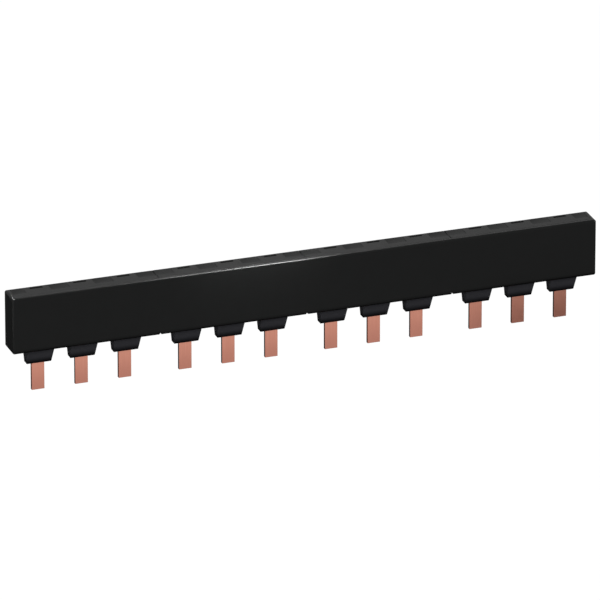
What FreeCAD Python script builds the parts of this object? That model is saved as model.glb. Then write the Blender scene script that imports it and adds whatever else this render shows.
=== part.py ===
import FreeCAD, Part
import math
import os

# Comb busbar for four three-phase devices that stand side by side.
# The origin is the middle of the pin row, level with the underside of the collars.
# X runs along the bar, the smooth front faces -Y and the pins point to -Z.

# Layout along the bar
module_count = 4
module_pitch = 45.0
module_gap = 0.2
phase_count = 3
pin_pitch = 13.25

# Copper combs, each stamped and bent from one sheet
copper_thickness = 1.0
pin_width = 3.85
pin_exposed = 8.7
strip_height = 10.0
strip_overhang = 3.0
strip_corner_radius = 1.0
root_radius = 0.6
bend_inner_radius = 0.4
phase_spacing = 1.9

# Walls of the moulded housing and its cover
front_wall = 1.2
end_wall = 1.4
floor_wall = 1.2
top_wall = 1.2
back_wall = 1.15
edge_radius = 0.6

# Collars round the pins
collar_drop = 5.3
collar_side_wall = 1.775
collar_front_wall = 1.15
collar_back_wall = 0.4
collar_front_lean = 20.0
collar_side_lean = 5.8
collar_foot_radius = 0.6
collar_edge_radius = 0.15

# Barriers between the phases
barrier_foot = 0.7
barrier_head_gap = 0.1
foot_notch_gap = 0.1

# Partitions under the copper
partition_thickness = 1.0
joggle_floor_gap = 0.05
joggle_headroom = 1.35

# Features of the cover
slot_breadth = 0.85
slot_depth = 1.1
pad_border = 1.875
hollow_length = 3.8
hollow_depth = 0.33
hollow_fade = 0.1
nose_thickness = 0.65
nose_reach = 1.1
rail_height = 1.0
rail_inset = 2.0
tongue_reach = 0.35
tongue_thickness = 0.45
tongue_cover = 0.5
lug_width = 5.0
lug_depth = 0.35
lug_height = 0.6
lug_level = 0.3

# Grooves that mark the joints between modules
top_groove_width = 0.3
top_groove_depth = 0.5
floor_notch_width = 0.8
floor_notch_depth = 0.95

# Clearances
fit_gap = 0.05
pin_gap = 0.05
stack_gap = 0.2

# Depths, from the front face to the back
half_copper = copper_thickness / 2
inner_front = -((phase_count - 1) * phase_spacing + half_copper + stack_gap)
outer_front = inner_front - front_wall
joint_plane = half_copper + collar_back_wall
inner_back = joint_plane + fit_gap
outer_back = inner_back + back_wall
barrier_web = phase_spacing - copper_thickness - 2 * fit_gap
bend_radius = bend_inner_radius + half_copper

# Levels, from the underside of the body to its top
underside = collar_drop
floor_top = underside + floor_wall
joggle_level = floor_top + joggle_floor_gap + bend_radius
front_foot_level = joggle_level + half_copper + joggle_headroom
front_strip_level = front_foot_level + barrier_foot + fit_gap
rear_foot_level = front_strip_level
rear_strip_level = rear_foot_level + barrier_foot + fit_gap
nose_level = rear_strip_level + strip_height + fit_gap
ceiling = nose_level + nose_thickness
body_top = ceiling + top_wall

# Lengths along the bar
bar_length = module_count * module_pitch - module_gap
outer_end = bar_length / 2
inner_end = outer_end - end_wall
half_pin = pin_width / 2
pad_width = pin_width + 2 * pad_border


def module_centres():
    """Places of the four devices along the bar."""
    middle = (module_count - 1) / 2
    return [(index - middle) * module_pitch for index in range(module_count)]


def phase_pins(phase):
    """Places of the pins of one phase, one at each device."""
    offset = (phase - (phase_count - 1) / 2) * pin_pitch
    return [centre + offset for centre in module_centres()]


def all_pins():
    """Places of all the pins, from left to right."""
    return sorted(x for phase in range(phase_count) for x in phase_pins(phase))


def pin_gaps():
    """Middles of the narrow gaps between the pins of one device."""
    offsets = [(step - (phase_count - 2) / 2) * pin_pitch for step in range(phase_count - 1)]
    return [centre + offset for centre in module_centres() for offset in offsets]


def module_joints():
    """Places where one device ends and the next begins."""
    return [centre + module_pitch / 2 for centre in module_centres()[:-1]]


def phase_depth(phase):
    """Middle plane of the strip of one phase, the last one in the plane of the pins."""
    return (phase - (phase_count - 1)) * phase_spacing


def strip_level(phase):
    """Lower edge of the strip of one phase: the last one stands on two barrier feet."""
    return rear_strip_level if phase == phase_count - 1 else front_strip_level


def block(x_range, y_range, z_range):
    """Plain block between the given limits."""
    corner = FreeCAD.Vector(x_range[0], y_range[0], z_range[0])
    sizes = [limits[1] - limits[0] for limits in (x_range, y_range, z_range)]
    return Part.makeBox(sizes[0], sizes[1], sizes[2], corner)


def prism_along_x(outline, x_range):
    """Outline of (y, z) points, drawn out along the bar."""
    points = [FreeCAD.Vector(x_range[0], y, z) for y, z in outline]
    face = Part.Face(Part.makePolygon(points + points[:1]))
    return face.extrude(FreeCAD.Vector(x_range[1] - x_range[0], 0, 0))


def prism_along_y(outline, y_range):
    """Outline of (x, z) points, drawn out from front to back."""
    points = [FreeCAD.Vector(x, y_range[0], z) for x, z in outline]
    face = Part.Face(Part.makePolygon(points + points[:1]))
    return face.extrude(FreeCAD.Vector(0, y_range[1] - y_range[0], 0))


def edges_at(shape, **limits):
    """Edges whose two ends and middle all lie at the given x, y or z."""
    def fits(edge):
        middle = edge.valueAt((edge.FirstParameter + edge.LastParameter) / 2)
        points = [vertex.Point for vertex in edge.Vertexes] + [middle]
        return all(abs(getattr(p, axis) - value) < 0.001
                   for p in points for axis, value in limits.items())
    return [edge for edge in shape.Edges if fits(edge)]


def rounded_body():
    """Whole outer body of housing and cover, with every outer edge rounded."""
    body = block((-outer_end, outer_end), (outer_front, outer_back), (underside, body_top))
    return body.makeFillet(edge_radius, body.Edges)


def collar(x):
    """Tapered collar round one pin: leaning front, drafted sides and an upright back."""
    side_slope = math.tan(math.radians(collar_side_lean))
    front_slope = math.tan(math.radians(collar_front_lean))
    top = underside + floor_wall / 2

    def ring(level):
        half = half_pin + collar_side_wall + level * side_slope
        front = -half_copper - collar_front_wall - level * front_slope
        corners = [(x - half, front), (x + half, front), (x + half, joint_plane), (x - half, joint_plane)]
        points = [FreeCAD.Vector(cx, cy, level) for cx, cy in corners]
        return Part.makePolygon(points + points[:1])

    shape = Part.makeLoft([ring(0), ring(top)], True, True)
    foot_front = -half_copper - collar_front_wall
    shape = shape.makeFillet(collar_foot_radius, edges_at(shape, y=foot_front, z=0))
    foot_half = half_pin + collar_side_wall
    side_edges = edges_at(shape, x=x - foot_half, z=0) + edges_at(shape, x=x + foot_half, z=0)
    return shape.makeFillet(collar_edge_radius, side_edges)


def pin_channel(x):
    """Channel in which a pin passes through the floor and its collar."""
    half_x = half_pin + pin_gap
    half_y = half_copper + pin_gap
    return block((x - half_x, x + half_x), (-half_y, half_y), (-floor_wall, floor_top + fit_gap))


def partition(x):
    """Stepped wall between two joggled pins, which carries the front strip and the barrier."""
    strip_back = phase_depth(0) + half_copper
    outline = [
        (inner_front - front_wall / 2, underside + floor_wall / 2),
        (inner_front - front_wall / 2, front_strip_level - fit_gap),
        (strip_back, front_strip_level - fit_gap),
        (strip_back, front_foot_level - fit_gap),
        (joint_plane - fit_gap, front_foot_level - fit_gap),
        (joint_plane - fit_gap, underside + floor_wall / 2),
    ]
    half = partition_thickness / 2
    return prism_along_x(outline, (x - half, x + half))


def floor_notch(x):
    """Small notch across the underside at the joint between two modules."""
    half = floor_notch_width / 2
    outline = [(x - half, underside), (x + half, underside), (x, underside + floor_notch_depth)]
    return prism_along_y(outline, (outer_front - front_wall, outer_back))


def lug_outline(gap):
    """Section of a snap lug on the inside of the back wall, or of its recess with a gap."""
    base = underside + lug_level
    return [
        (inner_back + gap, base - gap),
        (joint_plane - lug_depth - gap, base + lug_height / 2),
        (joint_plane - lug_depth - gap, base + lug_height + gap),
        (inner_back + gap, base + lug_height + gap),
    ]


def tongue(gap):
    """Tongue along the cover's front edge, or its groove in the front wall with a gap."""
    top = body_top - tongue_cover
    y_range = (inner_front + fit_gap - tongue_reach - gap, inner_front + 2 * fit_gap)
    z_range = (top - tongue_thickness - gap, top + gap)
    length = inner_end - fit_gap + gap
    return block((-length, length), y_range, z_range)


def housing():
    """Front wall, floor, end walls, partitions and collars, moulded in one piece."""
    shell = rounded_body()
    reach = (-inner_end, inner_end)
    shell = shell.cut(block(reach, (inner_front, outer_back), (floor_top, body_top)))
    shell = shell.cut(block(reach, (joint_plane, outer_back), (underside, body_top)))
    additions = [collar(x) for x in all_pins()]
    additions += [partition(x) for x in pin_gaps() + module_joints()]
    shell = shell.fuse(additions)
    openings = [pin_channel(x) for x in all_pins()]
    openings += [floor_notch(x) for x in module_joints()]
    half_lug = lug_width / 2 + fit_gap
    openings += [prism_along_x(lug_outline(fit_gap), (x - half_lug, x + half_lug)) for x in pin_gaps()]
    openings.append(tongue(fit_gap))
    return shell.cut(openings).removeSplitter()


def hollow_section(x, depth):
    """Section of a hollow in the top face: deepest at its front ledge, flush at the back."""
    back = outer_back - edge_radius
    front = back - hollow_length
    radius = hollow_length ** 2 / (2 * depth) + depth / 2
    sag = radius - math.sqrt(radius ** 2 - (hollow_length / 2) ** 2)
    heights = [body_top - depth, body_top - depth + sag, body_top]
    depths = [front, front + hollow_length / 2, back]
    start, middle, end = [FreeCAD.Vector(x, y, z) for y, z in zip(depths, heights)]
    corner = FreeCAD.Vector(x, front, body_top)
    return Part.Wire([Part.Arc(start, middle, end).toShape(), Part.makeLine(end, corner),
                      Part.makeLine(corner, start)])


def hollows():
    """Shallow hollows between the pads over the pins, each one deep at its left and fading to its right."""
    length = inner_end - fit_gap
    half = pad_width / 2
    starts = [-length] + [x + half for x in all_pins()]
    ends = [x - half for x in all_pins()] + [length]
    pairs = [[hollow_section(left, hollow_depth), hollow_section(right, hollow_fade)]
             for left, right in zip(starts, ends)]
    return [Part.makeLoft(pair, True, True) for pair in pairs]


def cover_groove(x):
    """Groove over the top and down the back at the joint between two modules."""
    half = top_groove_width / 2
    top_line = [(x - half, body_top), (x + half, body_top), (x, body_top - top_groove_depth)]
    across = prism_along_y(top_line, (inner_front, outer_back))
    corners = [(x - half, outer_back), (x + half, outer_back), (x, outer_back - top_groove_depth)]
    points = [FreeCAD.Vector(cx, cy, underside) for cx, cy in corners]
    face = Part.Face(Part.makePolygon(points + points[:1]))
    return across.fuse(face.extrude(FreeCAD.Vector(0, 0, body_top - underside)))


def cover():
    """Top wall and back wall in one piece, with its tongue, snap lugs, noses and rails."""
    length = inner_end - fit_gap
    reach = (-length, length)
    roof = block(reach, (inner_front + fit_gap, outer_back), (ceiling, body_top))
    back = block(reach, (inner_back, outer_back), (underside, body_top))
    shell = rounded_body().common(roof.fuse(back))
    nose_range = (inner_back - nose_reach, inner_back + fit_gap)
    additions = [block((x - half_pin, x + half_pin), nose_range, (nose_level, ceiling + fit_gap))
                 for x in all_pins()]
    half_lug = lug_width / 2
    additions += [prism_along_x(lug_outline(0), (x - half_lug, x + half_lug)) for x in pin_gaps()]
    rail_depth = (half_copper + fit_gap, inner_back + fit_gap)
    for level in (rear_strip_level + rail_inset, rear_strip_level + strip_height - rail_inset - rail_height):
        additions.append(block(reach, rail_depth, (level, level + rail_height)))
    additions.append(tongue(0))
    shell = shell.fuse(additions)
    slot_range = (inner_back - slot_breadth, inner_back)
    slot_heights = (body_top - slot_depth, body_top + slot_depth)
    openings = [block((x - half_pin, x + half_pin), slot_range, slot_heights) for x in all_pins()]
    openings += [cover_groove(x) for x in module_joints()]
    openings += hollows()
    return shell.cut(openings).removeSplitter()


def tine(phase, x):
    """One pin with its joggle, from the strip of its phase back to the plane of the pins."""
    depth = phase_depth(phase)
    top = strip_level(phase) + strip_height / 2
    bottom = -pin_exposed
    half = half_copper
    if phase == phase_count - 1:
        return block((x - half_pin, x + half_pin), (-half, half), (bottom, top))
    offset = -depth
    angle = math.acos(max(0.0, 1 - offset / (2 * bend_radius)))
    slant = (offset - 2 * bend_radius * (1 - math.cos(angle))) / math.sin(angle)
    rise = 2 * bend_radius * math.sin(angle) + slant * math.cos(angle)
    upper = (depth + bend_radius, joggle_level + rise / 2)
    lower = (-bend_radius, joggle_level - rise / 2)

    def upper_point(radius, turn):
        return FreeCAD.Vector(x - half_pin, upper[0] - radius * math.cos(turn),
                              upper[1] - radius * math.sin(turn))

    def lower_point(radius, turn):
        return FreeCAD.Vector(x - half_pin, lower[0] + radius * math.cos(turn),
                              lower[1] + radius * math.sin(turn))

    def side(upper_radius, lower_radius, y_top, y_bottom):
        """Edges of one face of the bent sheet, from the strip down to the tip of the pin."""
        start = FreeCAD.Vector(x - half_pin, y_top, top)
        end = FreeCAD.Vector(x - half_pin, y_bottom, bottom)
        first = [upper_point(upper_radius, angle * share) for share in (0, 0.5, 1)]
        second = [lower_point(lower_radius, angle * share) for share in (1, 0.5, 0)]
        edges = [Part.makeLine(start, first[0]), Part.Arc(*first).toShape()]
        if first[2].distanceToPoint(second[0]) > 0.001:
            edges.append(Part.makeLine(first[2], second[0]))
        edges += [Part.Arc(*second).toShape(), Part.makeLine(second[2], end)]
        return edges, start, end

    front, front_top, front_tip = side(bend_radius + half, bend_radius - half, depth - half, -half)
    rear, rear_top, rear_tip = side(bend_radius - half, bend_radius + half, depth + half, half)
    closing = [Part.makeLine(front_tip, rear_tip), Part.makeLine(rear_top, front_top)]
    outline = Part.Wire(Part.__sortEdges__(front + rear + closing))
    return Part.Face(outline).extrude(FreeCAD.Vector(pin_width, 0, 0))


def comb(phase):
    """Copper comb of one phase: a flat strip on edge with a pin at each device."""
    pins = phase_pins(phase)
    depth = phase_depth(phase)
    level = strip_level(phase)
    ends = (pins[0] - half_pin - strip_overhang, pins[-1] + half_pin + strip_overhang)
    strip = block(ends, (depth - half_copper, depth + half_copper), (level, level + strip_height))
    corners = [edge for x in ends for z in (level, level + strip_height)
               for edge in edges_at(strip, x=x, z=z)]
    strip = strip.makeFillet(strip_corner_radius, corners)
    shape = strip.fuse([tine(phase, x) for x in pins]).removeSplitter()
    roots = [edge for x in pins for side in (-half_pin, half_pin)
             for edge in edges_at(shape, x=x + side, z=level)]
    return shape.makeFillet(root_radius, roots)


def barrier(phase):
    """Angle section between the strip of one phase and the next, notched for the pins behind it."""
    web_front = phase_depth(phase) + half_copper + fit_gap
    web_back = web_front + barrier_web
    foot_back = joint_plane - fit_gap
    foot_level = front_foot_level if phase == 0 else rear_foot_level
    length = inner_end - 2 * fit_gap
    outline = [
        (web_front, foot_level),
        (foot_back, foot_level),
        (foot_back, foot_level + barrier_foot),
        (web_back, foot_level + barrier_foot),
        (web_back, ceiling - barrier_head_gap),
        (web_front, ceiling - barrier_head_gap),
    ]
    section = prism_along_x(outline, (-length, length))
    half = half_pin + root_radius + foot_notch_gap
    notches = []
    for behind in range(phase + 1, phase_count):
        notch_front = phase_depth(behind) - half_copper - fit_gap
        last = behind == phase_count - 1
        notch_back = foot_back + fit_gap if last else phase_depth(behind) + half_copper + fit_gap
        height_range = (foot_level - fit_gap, foot_level + barrier_foot + fit_gap)
        notches += [block((x - half, x + half), (notch_front, notch_back), height_range)
                    for x in phase_pins(behind)]
    return section.cut(notches).removeSplitter()


def export(name, shape):
    """Write one sub-part as a single closed solid."""
    solids = shape.Solids
    print(name, "solids", len(solids), "faces", len(shape.Faces), "volume", round(shape.Volume, 2),
          "valid", shape.isValid())
    solids[0].exportStep(os.path.join("parts", name + ".step"))


def main():
    """Build and write every sub-part."""
    os.makedirs("parts", exist_ok=True)
    export("housing", housing())
    export("top_and_back_cover", cover())
    export("front_phase_comb", comb(0))
    export("middle_phase_comb", comb(1))
    export("rear_phase_comb", comb(2))
    export("front_phase_barrier", barrier(0))
    export("rear_phase_barrier", barrier(1))


main()
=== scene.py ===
import logging
import math
from dataclasses import dataclass, field
from enum import Enum

import bpy
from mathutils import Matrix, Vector


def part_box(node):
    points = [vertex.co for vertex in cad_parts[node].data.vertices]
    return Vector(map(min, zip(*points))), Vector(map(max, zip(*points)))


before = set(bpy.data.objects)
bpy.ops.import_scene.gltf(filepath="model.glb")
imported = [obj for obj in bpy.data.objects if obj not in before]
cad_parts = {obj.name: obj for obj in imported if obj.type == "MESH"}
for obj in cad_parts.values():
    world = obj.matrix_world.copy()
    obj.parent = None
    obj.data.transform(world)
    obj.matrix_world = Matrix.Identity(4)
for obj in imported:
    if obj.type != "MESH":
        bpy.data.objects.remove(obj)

# Comb busbar: black moulded housing and cover, three copper combs and two grey barriers.
# The frame's origin is the middle of the pin row, level with the underside of the collars.
# X runs along the bar, the smooth front faces -Y and the pins point to -Z. Lengths are in metres.

log = logging.getLogger("comb_busbar")

MM = 0.001
Colour = tuple[float, float, float]
Point = tuple[float, float, float]
WHITE: Colour = (1.0, 1.0, 1.0)
# The collars end, and the pins come out of them, at the height of the frame's origin.
COLLAR_FOOT = 0.0


class Rays(Enum):
    """Which rays a lamp lights."""

    ALL = "all"
    DIFFUSE = "diffuse"
    GLOSSY = "glossy"


class Axis(Enum):
    """Directions of the frame, by the name of their output on a Separate XYZ node."""

    ALONG_BAR = "X"
    DEPTH = "Y"
    HEIGHT = "Z"


class Graph:
    """Adds nodes to one node tree and links them."""

    def __init__(self, tree: bpy.types.NodeTree) -> None:
        """Keep the node tree of a material, a world or a group."""
        self.tree = tree

    def add(self, kind: str, **settings: object) -> bpy.types.Node:
        """Add one node.

        Args:
            kind: The node's type name.
            **settings: Properties of the node to set.

        Returns:
            The new node.
        """
        node = self.tree.nodes.new(kind)
        for name, value in settings.items():
            setattr(node, name, value)
        return node

    def feed(self, socket: bpy.types.NodeSocket, value: object) -> None:
        """Link another node's output to a socket, or set the socket to a plain value.

        Args:
            socket: The input socket.
            value: An output socket, a number, a colour or a vector.
        """
        if isinstance(value, bpy.types.NodeSocket):
            self.tree.links.new(value, socket)
        else:
            socket.default_value = value

    def maths(self, operation: str, first: object, second: object = 0.0,
              third: object = 0.0) -> bpy.types.NodeSocket:
        """Work on up to three numbers with a Math node.

        Args:
            operation: The Math node's operation.
            first: The first number or output socket.
            second: The second one, which some operations leave out of account.
            third: The third one, which MULTIPLY_ADD adds at the end.

        Returns:
            The result's socket.
        """
        node = self.add("ShaderNodeMath", operation=operation)
        for socket, value in zip(node.inputs, (first, second, third)):
            self.feed(socket, value)
        return node.outputs[0]

    def varied(self, pattern: object, level: float, spread: float) -> bpy.types.NodeSocket:
        """Let a value vary with a pattern from 0 to 1, by half the spread to each side of its level."""
        return self.maths("MULTIPLY_ADD", pattern, spread, level - spread / 2)

    def ramp(self, value: object, start: float, end: float, low: float = 0.0,
             high: float = 1.0) -> bpy.types.NodeSocket:
        """Carry a value smoothly from one range to another.

        Args:
            value: The number or socket to carry over.
            start: The value that gives low.
            end: The value that gives high.
            low: The result at start.
            high: The result at end.

        Returns:
            The result's socket.
        """
        node = self.add("ShaderNodeMapRange", interpolation_type="SMOOTHSTEP")
        self.feed(node.inputs["Value"], value)
        self.feed(node.inputs["From Min"], start)
        self.feed(node.inputs["From Max"], end)
        self.feed(node.inputs["To Min"], low)
        self.feed(node.inputs["To Max"], high)
        return node.outputs["Result"]

    def blend(self, share: object, first: object, second: object) -> bpy.types.NodeSocket:
        """Mix two colours.

        Args:
            share: How much of the second colour shows.
            first: The first colour.
            second: The second colour.

        Returns:
            The mixed colour's socket.
        """
        # The node has sockets for numbers and vectors too, so its colours are inputs 6 and 7 and output 2.
        node = self.add("ShaderNodeMix", data_type="RGBA")
        self.feed(node.inputs[0], share)
        self.feed(node.inputs[6], opaque(first))
        self.feed(node.inputs[7], opaque(second))
        return node.outputs[2]

    def noise(self, place: object, scale: float, detail: float,
              roughness: float = 0.5) -> bpy.types.NodeSocket:
        """Add a noise pattern.

        Args:
            place: The coordinates' socket.
            scale: Features per metre.
            detail: Octaves of finer noise.
            roughness: How strong the finer noise is.

        Returns:
            The pattern's value, about 0.5 on average.
        """
        node = self.add("ShaderNodeTexNoise")
        self.feed(node.inputs["Vector"], place)
        self.feed(node.inputs["Scale"], scale)
        self.feed(node.inputs["Detail"], detail)
        self.feed(node.inputs["Roughness"], roughness)
        return node.outputs["Fac"]

    def stretched(self, place: object, scale: Point) -> bpy.types.NodeSocket:
        """Scale coordinates by a different factor along each axis.

        Args:
            place: The coordinates' socket.
            scale: The three factors.

        Returns:
            The scaled coordinates' socket.
        """
        node = self.add("ShaderNodeMapping")
        self.feed(node.inputs["Vector"], place)
        self.feed(node.inputs["Scale"], scale)
        return node.outputs["Vector"]

    def coordinate(self, place: object, axis: Axis) -> bpy.types.NodeSocket:
        """One coordinate of a point or direction.

        Args:
            place: The point's socket.
            axis: Which coordinate is wanted.

        Returns:
            The coordinate's socket.
        """
        node = self.add("ShaderNodeSeparateXYZ")
        self.feed(node.inputs[0], place)
        return node.outputs[axis.value]

    def bump(self, height: object, depth: float, strength: object = 1.0,
             normal: object = None) -> bpy.types.NodeSocket:
        """Turn a height pattern into a normal.

        Args:
            height: The pattern's socket, from 0 to 1.
            depth: How deep the pattern is, in metres.
            strength: How much of the pattern shows.
            normal: The socket of the normal to start from, instead of the surface's own.

        Returns:
            The normal's socket.
        """
        node = self.add("ShaderNodeBump")
        self.feed(node.inputs["Height"], height)
        self.feed(node.inputs["Distance"], depth)
        self.feed(node.inputs["Strength"], strength)
        if normal is not None:
            self.feed(node.inputs["Normal"], normal)
        return node.outputs["Normal"]


def opaque(colour: object) -> object:
    """Give a plain colour its alpha, and leave a socket as it is."""
    return (*colour, 1.0) if isinstance(colour, tuple) else colour


def shader_group(name: str, inputs: dict[str, str],
                 outputs: dict[str, str]) -> tuple[bpy.types.NodeTree, Graph, bpy.types.Node, bpy.types.Node]:
    """Start a shader node group with named sockets.

    Args:
        name: The group's name.
        inputs: Socket types by input name.
        outputs: Socket types by output name.

    Returns:
        The group, its graph, its input node and its output node.
    """
    tree = bpy.data.node_groups.new(name, "ShaderNodeTree")
    for socket, kind in inputs.items():
        tree.interface.new_socket(socket, in_out="INPUT", socket_type=kind)
    for socket, kind in outputs.items():
        tree.interface.new_socket(socket, in_out="OUTPUT", socket_type=kind)
    graph = Graph(tree)
    return tree, graph, graph.add("NodeGroupInput"), graph.add("NodeGroupOutput")


def mould_grain_group() -> bpy.types.NodeTree:
    """Fine eroded texture of an injection mould, with soft mottling of the resin.

    Returns:
        The group, with a height for the grain and a mottle from 0 to 1.
    """
    inputs = {"Place": "NodeSocketVector", "Grain Scale": "NodeSocketFloat",
              "Mottle Scale": "NodeSocketFloat"}
    outputs = {"Grain": "NodeSocketFloat", "Mottle": "NodeSocketFloat"}
    finer, coarse_share = 3.1, 0.65
    mottle_low, mottle_high = 0.34, 0.66
    tree, graph, entry, result = shader_group("mould_grain", inputs, outputs)
    place = entry.outputs["Place"]
    coarse = graph.noise(place, entry.outputs["Grain Scale"], detail=2.0, roughness=0.6)
    fine_scale = graph.maths("MULTIPLY", entry.outputs["Grain Scale"], finer)
    fine = graph.noise(place, fine_scale, detail=1.0)
    fine_part = graph.maths("MULTIPLY", fine, 1.0 - coarse_share)
    grain = graph.maths("MULTIPLY_ADD", coarse, coarse_share, fine_part)
    cloudy = graph.noise(place, entry.outputs["Mottle Scale"], detail=4.0, roughness=0.55)
    mottle = graph.ramp(cloudy, mottle_low, mottle_high)
    graph.feed(result.inputs["Grain"], grain)
    graph.feed(result.inputs["Mottle"], mottle)
    return tree


def moulded_form_group() -> bpy.types.NodeTree:
    """Rounded edges and undersides of a moulding, told from the direction of its surface.

    A flat face of the body looks along one axis, and a rounded edge looks between two or three of them.

    Returns:
        The group, with a mask of the rounded edges and one of the undersides, which get painted shade.
    """
    inputs = {"Direction": "NodeSocketVector"}
    outputs = {"Rounded": "NodeSocketFloat", "Shaded Underside": "NodeSocketFloat"}
    tree, graph, entry, result = shader_group("moulded_form", inputs, outputs)
    flat, rounded = 0.996, 0.975
    sloping, hanging = -0.40, -0.80
    direction = entry.outputs["Direction"]
    sizes = [graph.maths("ABSOLUTE", graph.coordinate(direction, axis)) for axis in Axis]
    largest = graph.maths("MAXIMUM", graph.maths("MAXIMUM", sizes[0], sizes[1]), sizes[2])
    rise = graph.coordinate(direction, Axis.HEIGHT)
    graph.feed(result.inputs["Rounded"], graph.ramp(largest, flat, rounded))
    # The underside mask marks where the black moulding gets painted shade.
    graph.feed(result.inputs["Shaded Underside"], graph.ramp(rise, sloping, hanging))
    return tree


def rubbed_edge_group() -> bpy.types.NodeTree:
    """Outer edges, found where a slightly rounded normal leaves the true one.

    Returns:
        The group, with a mask of the edges and the softened normal.
    """
    inputs = {"Radius": "NodeSocketFloat"}
    outputs = {"Mask": "NodeSocketFloat", "Normal": "NodeSocketVector"}
    alike, apart = 0.995, 0.90
    tree, graph, entry, result = shader_group("rubbed_edge", inputs, outputs)
    rounded = graph.add("ShaderNodeBevel", samples=4)
    graph.feed(rounded.inputs["Radius"], entry.outputs["Radius"])
    surface = graph.add("ShaderNodeNewGeometry")
    likeness = graph.add("ShaderNodeVectorMath", operation="DOT_PRODUCT")
    graph.feed(likeness.inputs[0], rounded.outputs["Normal"])
    graph.feed(likeness.inputs[1], surface.outputs["Normal"])
    graph.feed(result.inputs["Mask"], graph.ramp(likeness.outputs["Value"], alike, apart))
    graph.feed(result.inputs["Normal"], rounded.outputs["Normal"])
    return tree


def drawn_streaks_group() -> bpy.types.NodeTree:
    """Straight fine lines that rolling, drawing or a flowing melt leaves along one direction.

    Returns:
        The group, with streaks from 0 to 1.
    """
    inputs = {"Place": "NodeSocketVector", "Across": "NodeSocketFloat"}
    outputs = {"Streaks": "NodeSocketFloat"}
    finer, share = 4.3, 0.5
    faint, strong = 0.32, 0.68
    tree, graph, entry, result = shader_group("drawn_streaks", inputs, outputs)
    broad = graph.noise(entry.outputs["Place"], entry.outputs["Across"], detail=2.0, roughness=0.6)
    narrow_scale = graph.maths("MULTIPLY", entry.outputs["Across"], finer)
    narrow = graph.noise(entry.outputs["Place"], narrow_scale, detail=2.0, roughness=0.7)
    both = graph.maths("MULTIPLY_ADD", broad, share, graph.maths("MULTIPLY", narrow, 1.0 - share))
    graph.feed(result.inputs["Streaks"], graph.ramp(both, faint, strong))
    return tree


class Effects:
    """The shader groups that the materials share, each built once."""

    def __init__(self) -> None:
        """Build the groups."""
        self.mould_grain = mould_grain_group()
        self.moulded_form = moulded_form_group()
        self.rubbed_edge = rubbed_edge_group()
        self.drawn_streaks = drawn_streaks_group()

    @staticmethod
    def place(graph: Graph, group: bpy.types.NodeTree, **values: object) -> bpy.types.Node:
        """Put a group into a material with its own values.

        Args:
            graph: The material's graph.
            group: The shared group.
            **values: Values or sockets by input name, with underscores for spaces.

        Returns:
            The group's node.
        """
        node = graph.add("ShaderNodeGroup")
        node.node_tree = group
        for name, value in values.items():
            graph.feed(node.inputs[name.replace("_", " ")], value)
        return node


def new_material(name: str) -> tuple[bpy.types.Material, Graph, bpy.types.Node]:
    """Start a node material.

    Args:
        name: The material's name.

    Returns:
        The material, its graph and its Principled BSDF node.
    """
    material = bpy.data.materials.new(name)
    material.use_nodes = True
    return material, Graph(material.node_tree), material.node_tree.nodes["Principled BSDF"]


def frame_place(graph: Graph) -> bpy.types.NodeSocket:
    """Coordinates in the frame, since every piece has its origin there."""
    return graph.add("ShaderNodeTexCoord").outputs["Object"]


@dataclass(frozen=True)
class MouldingZones:
    """Sockets that tell the parts of the black mouldings apart: the height and a mask for each part."""

    height: bpy.types.NodeSocket
    collar: bpy.types.NodeSocket
    body: bpy.types.NodeSocket
    front: bpy.types.NodeSocket
    front_edges: bpy.types.NodeSocket
    hollows: bpy.types.NodeSocket
    # Mask of the faces looking down, which get painted shade.
    undersides: bpy.types.NodeSocket


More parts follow.
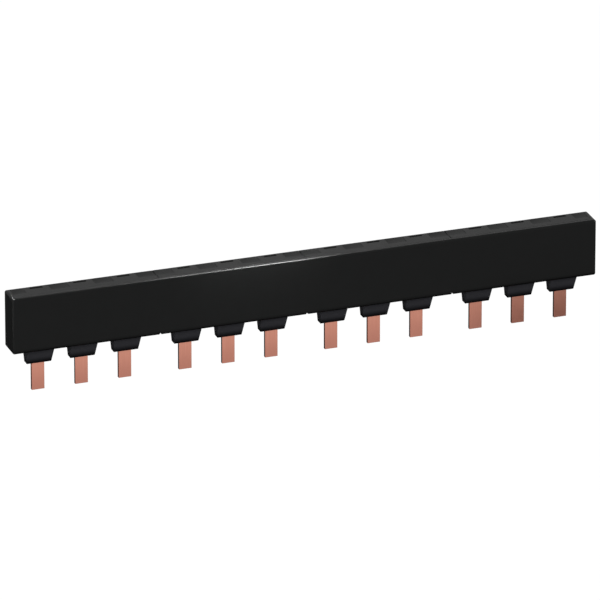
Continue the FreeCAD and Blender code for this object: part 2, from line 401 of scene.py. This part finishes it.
@dataclass(frozen=True)
class BlackMoulding:
    """Satin black resin, smoother on the front edges and in the hollows, and greyer on the collars.

    The rims are the lower ends of the body and the collars, darkened with painted shade as are the
    undersides. The collars carry painted light at the top that turns to painted shade towards the foot, and
    the hollows lie in the top face.
    """

    body: Colour = (0.0109, 0.0112, 0.0111)
    body_light: Colour = (0.0114, 0.0117, 0.0116)
    # The collar colours run from painted light at the top, against the shadow under the body, to painted
    # shade at the foot.
    collar: Colour = (0.0590, 0.0590, 0.0670)
    collar_foot_shade: Colour = (0.0285, 0.0285, 0.0325)
    # Painted shade for the lower rims and the undersides.
    underside: Colour = (0.0012, 0.0013, 0.0013)
    roughness: float = 0.22
    roughness_spread: float = 0.03
    edge_roughness: float = 0.17
    hollow_roughness: float = 0.14
    gloss: float = 0.042
    grain_scale: float = 9000.0
    grain_depth: float = 0.0012 * MM
    mottle_scale: float = 260.0
    blend_height: float = 0.08 * MM
    # Heights of the bands of painted shade at the lower ends of the body and the collars.
    body_shade_band: float = 1.5 * MM
    collar_shade_band: float = 2.4 * MM
    collar_shade_share: float = 0.95
    hollow_start: float = 0.02 * MM
    hollow_end: float = 0.07 * MM
    nearly_upward: float = 0.95
    upward: float = 0.99
    soft_radius: float = 0.35 * MM
    front_start: float = -3.4 * MM
    front_end: float = -2.6 * MM

    def material(self, effects: Effects, collar_top: float, body_top: float) -> bpy.types.Material:
        """Build the material.

        Args:
            effects: The shared shader groups.
            collar_top: Level of the body's underside, below which the collars are.
            body_top: Level of the top face.

        Returns:
            The material.
        """
        material, graph, shader = new_material("black_moulding")
        place = frame_place(graph)
        grain = effects.place(graph, effects.mould_grain, Place=place, Grain_Scale=self.grain_scale,
                              Mottle_Scale=self.mottle_scale)
        mottle = grain.outputs["Mottle"]
        zones = self.zones(graph, effects, place, collar_top, body_top)
        graph.feed(shader.inputs["Base Color"], self.colour(graph, zones, mottle, collar_top))
        graph.feed(shader.inputs["Roughness"], self.smoothness(graph, zones, mottle))
        shader.inputs["Specular IOR Level"].default_value = self.gloss
        # Softened normals widen the highlight along the front edge to its width in the photograph.
        softening = graph.maths("MULTIPLY", zones.front, self.soft_radius)
        edge = effects.place(graph, effects.rubbed_edge, Radius=softening)
        grain_left = graph.maths("SUBTRACT", 1.0, zones.front_edges)
        normal = graph.bump(grain.outputs["Grain"], self.grain_depth, grain_left, edge.outputs["Normal"])
        graph.feed(shader.inputs["Normal"], normal)
        return material

    def zones(self, graph: Graph, effects: Effects, place: bpy.types.NodeSocket, collar_top: float,
              body_top: float) -> MouldingZones:
        """Tell the parts of the mouldings apart by place and direction.

        Args:
            graph: The material's graph.
            effects: The shared shader groups.
            place: Coordinates in the frame.
            collar_top: Level of the body's underside.
            body_top: Level of the top face.

        Returns:
            The sockets of the parts.
        """
        direction = graph.add("ShaderNodeNewGeometry").outputs["Normal"]
        form = effects.place(graph, effects.moulded_form, Direction=direction)
        height = graph.coordinate(place, Axis.HEIGHT)
        collar = graph.ramp(height, collar_top, collar_top - self.blend_height)
        body = graph.maths("SUBTRACT", 1.0, collar)
        front = graph.ramp(graph.coordinate(place, Axis.DEPTH), self.front_end, self.front_start)
        rounded = graph.maths("MULTIPLY", form.outputs["Rounded"], body)
        front_edges = graph.maths("MULTIPLY", rounded, front)
        faces_up = graph.ramp(graph.coordinate(direction, Axis.HEIGHT), self.nearly_upward, self.upward)
        sunken = graph.ramp(height, body_top - self.hollow_start, body_top - self.hollow_end)
        hollows = graph.maths("MULTIPLY", faces_up, graph.maths("MULTIPLY", sunken, body))
        return MouldingZones(height, collar, body, front, front_edges, hollows, form.outputs["Shaded Underside"])

    def colour(self, graph: Graph, zones: MouldingZones, mottle: bpy.types.NodeSocket,
               collar_top: float) -> bpy.types.NodeSocket:
        """Colour the body and the collars, with painted shade at their lower rims and underneath, and on the
        collars painted light at the top turning to painted shade towards the foot.

        Args:
            graph: The material's graph.
            zones: The parts of the mouldings.
            mottle: The soft mottling, from 0 to 1.
            collar_top: Level of the body's underside.

        Returns:
            The colour's socket.
        """
        body = graph.blend(mottle, self.body, self.body_light)
        # Painted light at the collars' tops, against the shadow under the body, turning to painted shade
        # towards their feet.
        collar_light_to_shade = graph.ramp(zones.height, collar_top, COLLAR_FOOT)
        collar = graph.blend(collar_light_to_shade, self.collar, self.collar_foot_shade)
        resin = graph.blend(zones.collar, body, collar)
        # Painted shade in bands at the lower ends of the body and the collars, and on the undersides.
        body_shade_band = graph.ramp(zones.height, collar_top + self.body_shade_band, collar_top)
        rim_top = COLLAR_FOOT + self.collar_shade_band
        collar_shade_band = graph.ramp(zones.height, rim_top, COLLAR_FOOT, high=self.collar_shade_share)
        rim_shade = graph.maths("MULTIPLY_ADD", body_shade_band, zones.body, collar_shade_band)
        return graph.blend(graph.maths("MAXIMUM", rim_shade, zones.undersides), resin, self.underside)

    def smoothness(self, graph: Graph, zones: MouldingZones,
                   mottle: bpy.types.NodeSocket) -> bpy.types.NodeSocket:
        """Vary the roughness, lower on the front edges and in the hollows.

        Args:
            graph: The material's graph.
            zones: The parts of the mouldings.
            mottle: The soft mottling, from 0 to 1.

        Returns:
            The roughness's socket.
        """
        half = self.roughness_spread / 2
        rough = graph.ramp(mottle, 0.0, 1.0, low=self.roughness - half, high=self.roughness + half)
        for zone, level in ((zones.front_edges, self.edge_roughness), (zones.hollows, self.hollow_roughness)):
            rough = graph.maths("MULTIPLY_ADD", zone, level - self.roughness, rough)
        return rough


@dataclass(frozen=True)
class GreyMoulding:
    """Matt dark grey resin of the barriers, with flow lines along the bar."""

    resin: Colour = (0.150, 0.150, 0.160)
    resin_light: Colour = (0.175, 0.175, 0.186)
    flow_line: Colour = (0.135, 0.136, 0.146)
    roughness: float = 0.62
    roughness_spread: float = 0.08
    gloss: float = 0.3
    grain_scale: float = 7000.0
    grain_depth: float = 0.002 * MM
    mottle_scale: float = 300.0
    flow_across: float = 900.0
    flow_stretch: float = 0.02

    def material(self, effects: Effects) -> bpy.types.Material:
        """Build the material.

        Args:
            effects: The shared shader groups.

        Returns:
            The material.
        """
        material, graph, shader = new_material("grey_moulding")
        place = frame_place(graph)
        grain = effects.place(graph, effects.mould_grain, Place=place, Grain_Scale=self.grain_scale,
                              Mottle_Scale=self.mottle_scale)
        along = graph.stretched(place, (self.flow_stretch, 1.0, 1.0))
        flow = effects.place(graph, effects.drawn_streaks, Place=along, Across=self.flow_across)
        resin = graph.blend(grain.outputs["Mottle"], self.resin, self.resin_light)
        graph.feed(shader.inputs["Base Color"], graph.blend(flow.outputs["Streaks"], resin, self.flow_line))
        rough = graph.varied(grain.outputs["Mottle"], self.roughness, self.roughness_spread)
        graph.feed(shader.inputs["Roughness"], rough)
        shader.inputs["Specular IOR Level"].default_value = self.gloss
        graph.feed(shader.inputs["Normal"], graph.bump(grain.outputs["Grain"], self.grain_depth))
        return material


@dataclass(frozen=True)
class RolledCopper:
    """Bare rolled copper: lengthwise grain on the flats, rougher shear-cut sides coloured darker with painted
    shade, and painted shade towards the tips.
    """

    flat: Colour = (0.550, 0.232, 0.168)
    flat_light: Colour = (0.602, 0.271, 0.198)
    # Sides facing along the bar: painted shade for the dark surroundings they reflect.
    sheared_and_shaded_side: Colour = (0.035, 0.018, 0.014)
    # Painted shade that darkens the pins towards their tips.
    tip_shade: Colour = (0.470, 0.199, 0.147)
    edge: Colour = (0.760, 0.400, 0.300)
    roughness: float = 0.40
    roughness_spread: float = 0.10
    grain_across: float = 5200.0
    grain_stretch: float = 0.012
    grain_depth: float = 0.0012 * MM
    shade_scale: float = 420.0
    side_roughness: float = 0.2
    front_facing: float = 0.6
    side_facing: float = 0.9
    edge_radius: float = 0.07 * MM
    edge_share: float = 0.25

    def material(self, effects: Effects, pin_root: float, pin_tip: float) -> bpy.types.Material:
        """Build the material.

        Args:
            effects: The shared shader groups.
            pin_root: Level where the pins leave their collars.
            pin_tip: Level of the pins' lower ends.

        Returns:
            The material.
        """
        material, graph, shader = new_material("rolled_copper")
        place = frame_place(graph)
        along = graph.stretched(place, (1.0, 1.0, self.grain_stretch))
        grain = effects.place(graph, effects.drawn_streaks, Place=along, Across=self.grain_across)
        streaks = grain.outputs["Streaks"]
        flat = graph.blend(streaks, self.flat, self.flat_light)
        # Darker towards the tips: painted shade for the light that falls off down the pins.
        tip_shade_ramp = graph.ramp(graph.coordinate(place, Axis.HEIGHT), pin_root, pin_tip)
        shaded = graph.blend(tip_shade_ramp, flat, self.tip_shade)
        # Sides facing along the bar get a much darker colour, painted shade for the dark surroundings they
        # reflect, and more roughness for their shearing.
        facing = graph.coordinate(graph.add("ShaderNodeNewGeometry").outputs["Normal"], Axis.ALONG_BAR)
        is_side = graph.ramp(graph.maths("ABSOLUTE", facing), self.front_facing, self.side_facing)
        sided = graph.blend(is_side, shaded, self.sheared_and_shaded_side)
        edge = effects.place(graph, effects.rubbed_edge, Radius=self.edge_radius)
        rubbed = graph.maths("MULTIPLY", edge.outputs["Mask"], self.edge_share)
        graph.feed(shader.inputs["Base Color"], graph.blend(rubbed, sided, self.edge))
        shader.inputs["Metallic"].default_value = 1.0
        cloudy = graph.noise(place, self.shade_scale, detail=3.0)
        rough = graph.varied(cloudy, self.roughness, self.roughness_spread)
        rougher = graph.maths("MULTIPLY_ADD", is_side, self.side_roughness, rough)
        graph.feed(shader.inputs["Roughness"], rougher)
        normal = graph.bump(streaks, self.grain_depth, normal=edge.outputs["Normal"])
        graph.feed(shader.inputs["Normal"], normal)
        return material


def dress(node: str, material: bpy.types.Material) -> None:
    """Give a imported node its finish.

    Args:
        node: The node's name.
        material: The finish.
    """
    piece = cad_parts[node]
    piece.data.materials.clear()
    piece.data.materials.append(material)
    low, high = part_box(node)
    size = (high - low) / MM
    log.info("%s: %s, %.1f x %.1f x %.1f mm", node, material.name, size.x, size.y, size.z)


@dataclass
class Casing:
    """Moulded housing with its collars, and the cover that closes its top and back."""

    finish: BlackMoulding = field(default_factory=BlackMoulding)
    nodes: tuple[str, ...] = ("housing", "top_and_back_cover")
    collar_height: float = 5.3 * MM

    def build(self, effects: Effects) -> None:
        """Dress both mouldings.

        Args:
            effects: The shared shader groups.
        """
        body_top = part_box("top_and_back_cover")[1].z
        material = self.finish.material(effects, COLLAR_FOOT + self.collar_height, body_top)
        for node in self.nodes:
            dress(node, material)


@dataclass
class CopperCombs:
    """The three copper combs, one for each phase, whose pins come down in one plane."""

    finish: RolledCopper = field(default_factory=RolledCopper)
    nodes: tuple[str, ...] = ("front_phase_comb", "middle_phase_comb", "rear_phase_comb")

    def build(self, effects: Effects) -> None:
        """Dress the combs.

        Args:
            effects: The shared shader groups.
        """
        pin_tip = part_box(self.nodes[0])[0].z
        material = self.finish.material(effects, COLLAR_FOOT, pin_tip)
        for node in self.nodes:
            dress(node, material)


@dataclass
class PhaseBarriers:
    """The two angle sections that keep the strips of the phases apart."""

    finish: GreyMoulding = field(default_factory=GreyMoulding)
    nodes: tuple[str, ...] = ("front_phase_barrier", "rear_phase_barrier")

    def build(self, effects: Effects) -> None:
        """Dress the barriers.

        Args:
            effects: The shared shader groups.
        """
        material = self.finish.material(effects)
        for node in self.nodes:
            dress(node, material)


def rectangle(name: str, width: float, depth: float, level: float = 0.0) -> bpy.types.Mesh:
    """Make a flat rectangle about the origin.

    Args:
        name: The mesh's name.
        width: Its size along X.
        depth: Its size along Y.
        level: Its height.

    Returns:
        The mesh, with one face.
    """
    right, back = width / 2, depth / 2
    mesh = bpy.data.meshes.new(name)
    mesh.from_pydata([(-right, -back, level), (right, -back, level), (right, back, level),
                      (-right, back, level)], [], [(0, 1, 2, 3)])
    return mesh


@dataclass(frozen=True)
class Panel:
    """Flat rectangular lamp or card of the studio, turned towards a point."""

    name: str
    place: Point
    aim: Point
    width: float
    height: float

    def settle(self, item: bpy.types.Object) -> bpy.types.Object:
        """Put an object at the panel's place, facing its aim.

        Args:
            item: The lamp or card.

        Returns:
            The same object.
        """
        item.location = self.place
        item.rotation_mode = "QUATERNION"
        item.rotation_quaternion = (Vector(self.aim) - Vector(self.place)).to_track_quat("-Z", "Y")
        bpy.context.scene.collection.objects.link(item)
        return item


@dataclass(frozen=True)
class Lamp(Panel):
    """Rectangular soft lamp, which may be there for the gloss or the matt surfaces alone."""

    power: float = 1.0
    rays: Rays = Rays.ALL

    def build(self) -> None:
        """Make the lamp."""
        data = bpy.data.lights.new(self.name, "AREA")
        data.shape = "RECTANGLE"
        data.size = self.width
        data.size_y = self.height
        data.energy = self.power
        lamp = self.settle(bpy.data.objects.new(self.name, data))
        lamp.visible_diffuse = self.rays is not Rays.GLOSSY
        lamp.visible_glossy = self.rays is not Rays.DIFFUSE
        lamp.visible_camera = False
        log.info("%s: %.4f W", self.name, self.power)


@dataclass(frozen=True)
class Card(Panel):
    """Card that only reflections see, glowing at a fixed shade in place of a lit matt card, as a studio uses
    to shape a gloss.
    """

    shade: float = 0.1

    def build(self) -> None:
        """Make the card."""
        mesh = rectangle(self.name, self.width, self.height)
        material, graph, _ = new_material(self.name)
        graph.tree.nodes.clear()
        glow = graph.add("ShaderNodeEmission")
        glow.inputs["Color"].default_value = opaque((self.shade, self.shade, self.shade))
        graph.feed(graph.add("ShaderNodeOutputMaterial").inputs["Surface"], glow.outputs[0])
        mesh.materials.append(material)
        card = self.settle(bpy.data.objects.new(self.name, mesh))
        card.visible_camera = False
        card.visible_diffuse = False
        card.visible_transmission = False
        card.visible_shadow = False
        log.info("%s: shade %.2f", self.name, self.shade)


def ridge_lamp(name: str, along: float, width: float, power: float) -> Lamp:
    """Make a lamp behind the bar and above it, whose reflection runs along the top front edge."""
    return Lamp(name, (along, 0.0530, 0.1735), (along, -0.0056, 0.0225), width, 0.120, power, Rays.GLOSSY)


def studio_panels() -> list[Panel]:
    """List the lamps and cards, which are placed for the gloss that the photograph shows.

    Returns:
        The panels, each with its name, place, aim, width and height.
    """
    return [
        Lamp("key_lamp", (-0.75, -1.05, 0.85), (0.0, 0.0, 0.0), 0.5, 0.5, power=12.0),
        ridge_lamp("ridge_lamp", along=0.0427, width=0.024, power=1.60),
        ridge_lamp("ridge_lamp_left", along=0.0215, width=0.030, power=0.52),
        ridge_lamp("ridge_lamp_end", along=-0.0190, width=0.045, power=0.11),
        Lamp("brow_lamp", (-0.016, -0.0138, 0.0266), (-0.016, -0.0057, 0.0225), 0.034, 0.003,
             power=0.0015, rays=Rays.DIFFUSE),
        Lamp("corner_lamp", (-0.09224, -0.00416, 0.02776), (-0.0895, -0.0053, 0.0225), 0.0036, 0.0036,
             power=0.044, rays=Rays.GLOSSY),
        Lamp("end_lamp", (-0.1417, -0.0240, -0.0052), (-0.0896, -0.0055, 0.018), 0.008, 0.010,
             power=0.0062, rays=Rays.GLOSSY),
        Card("back_card", (0.16, 0.33, -0.150), (0.16, 0.0, -0.150), 0.58, 0.110, shade=0.03),
        Card("end_card", (-0.205, 0.33, -0.095), (-0.205, 0.0, -0.095), 0.15, 0.220, shade=0.03),
        Card("under_card", (0.05, 0.155, -0.12), (0.05, 0.155, 0.0), 0.9, 0.49, shade=0.02),
        Card("pin_flag", (0.1205, -0.050, -0.030), (0.1205, 0.0, -0.012), 0.09, 0.024, shade=0.13),
        Card("top_card", (0.2, 0.1, 0.6), (0.2, 0.1, 0.0), 1.2, 0.9, shade=0.25),
    ]


@dataclass
class Studio:
    """Pale floor, soft lamps, white surroundings and the photograph's camera."""

    floor_level: float = -0.20
    floor_size: float = 9.0
    floor_colour: Colour = (0.20, 0.20, 0.20)
    floor_roughness: float = 0.9
    floor_lift: float = 0.85
    fill_top: float = 0.80
    fill_bottom: float = 0.03
    focal_length: float = 600.0
    sensor: float = 36.0
    clip_near: float = 0.1
    clip_far: float = 20.0
    camera_turn: float = math.radians(19.57)
    camera_tilt: float = math.radians(22.72)
    camera_distance: float = 2.911
    camera_aim: Point = (-0.00022, 0.0, 0.00775)
    panels: list[Panel] = field(default_factory=studio_panels)

    def build(self) -> None:
        """Make the floor, the surroundings, the lamps and the camera."""
        self.floor()
        self.surroundings()
        for panel in self.panels:
            panel.build()
        self.camera()

    @staticmethod
    def seen(graph: Graph) -> bpy.types.NodeSocket:
        """Whether a ray comes straight from the camera, or by a reflection or through glass.

        Args:
            graph: The graph of the floor or the world.

        Returns:
            A socket that is 1 for such a ray.
        """
        path = graph.add("ShaderNodeLightPath")
        direct = graph.maths("MAXIMUM", path.outputs["Is Camera Ray"], path.outputs["Is Glossy Ray"])
        return graph.maths("MAXIMUM", direct, path.outputs["Is Transmission Ray"])

    def floor(self) -> None:
        """Make a wide pale floor that looks white and keeps the object's shadow."""
        mesh = rectangle("floor", self.floor_size, self.floor_size, self.floor_level)
        material, graph, shader = new_material("pale_floor")
        shader.inputs["Base Color"].default_value = opaque(self.floor_colour)
        shader.inputs["Roughness"].default_value = self.floor_roughness
        shader.inputs["Specular IOR Level"].default_value = 0.0
        shader.inputs["Emission Color"].default_value = opaque(WHITE)
        lift = graph.maths("MULTIPLY", self.seen(graph), self.floor_lift)
        graph.feed(shader.inputs["Emission Strength"], lift)
        mesh.materials.append(material)
        floor = bpy.data.objects.new("floor", mesh)
        bpy.context.scene.collection.objects.link(floor)
        log.info("floor at %.2f m", self.floor_level)

    def surroundings(self) -> None:
        """Light the scene from all round, and show plain white where a ray looks past the floor."""
        world = bpy.data.worlds.new("surroundings")
        world.use_nodes = True
        bpy.context.scene.world = world
        graph = Graph(world.node_tree)
        graph.tree.nodes.clear()
        rise = graph.coordinate(graph.add("ShaderNodeTexCoord").outputs["Generated"], Axis.HEIGHT)
        chosen = graph.add("ShaderNodeMixShader")
        graph.feed(chosen.inputs[0], self.seen(graph))
        fill = graph.ramp(rise, -1.0, 1.0, low=self.fill_bottom, high=self.fill_top)
        for socket, strength in zip(chosen.inputs[1:], (fill, 1.0)):
            glow = graph.add("ShaderNodeBackground")
            graph.feed(glow.inputs["Color"], opaque(WHITE))
            graph.feed(glow.inputs["Strength"], strength)
            graph.feed(socket, glow.outputs[0])
        graph.feed(graph.add("ShaderNodeOutputWorld").inputs["Surface"], chosen.outputs[0])

    def camera(self) -> None:
        """Set up the photograph's view: a far camera to the left of the bar and above it."""
        lens = bpy.data.cameras.new("camera")
        lens.lens = self.focal_length
        lens.sensor_width = self.sensor
        lens.clip_start = self.clip_near
        lens.clip_end = self.clip_far
        forward = Vector((math.sin(self.camera_turn) * math.cos(self.camera_tilt),
                          math.cos(self.camera_turn) * math.cos(self.camera_tilt),
                          -math.sin(self.camera_tilt)))
        camera = bpy.data.objects.new("camera", lens)
        camera.location = Vector(self.camera_aim) - forward * self.camera_distance
        camera.rotation_mode = "QUATERNION"
        camera.rotation_quaternion = forward.to_track_quat("-Z", "Y")
        bpy.context.scene.collection.objects.link(camera)
        bpy.context.scene.camera = camera


def main() -> None:
    """Build the object's looks and the studio."""
    logging.basicConfig(level=logging.INFO, format="%(message)s")
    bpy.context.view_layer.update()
    bpy.context.scene.view_settings.view_transform = "Standard"
    effects = Effects()
    for assembly in (Casing(), CopperCombs(), PhaseBarriers()):
        assembly.build(effects)
    Studio().build()


if __name__ == "__main__":
    main()
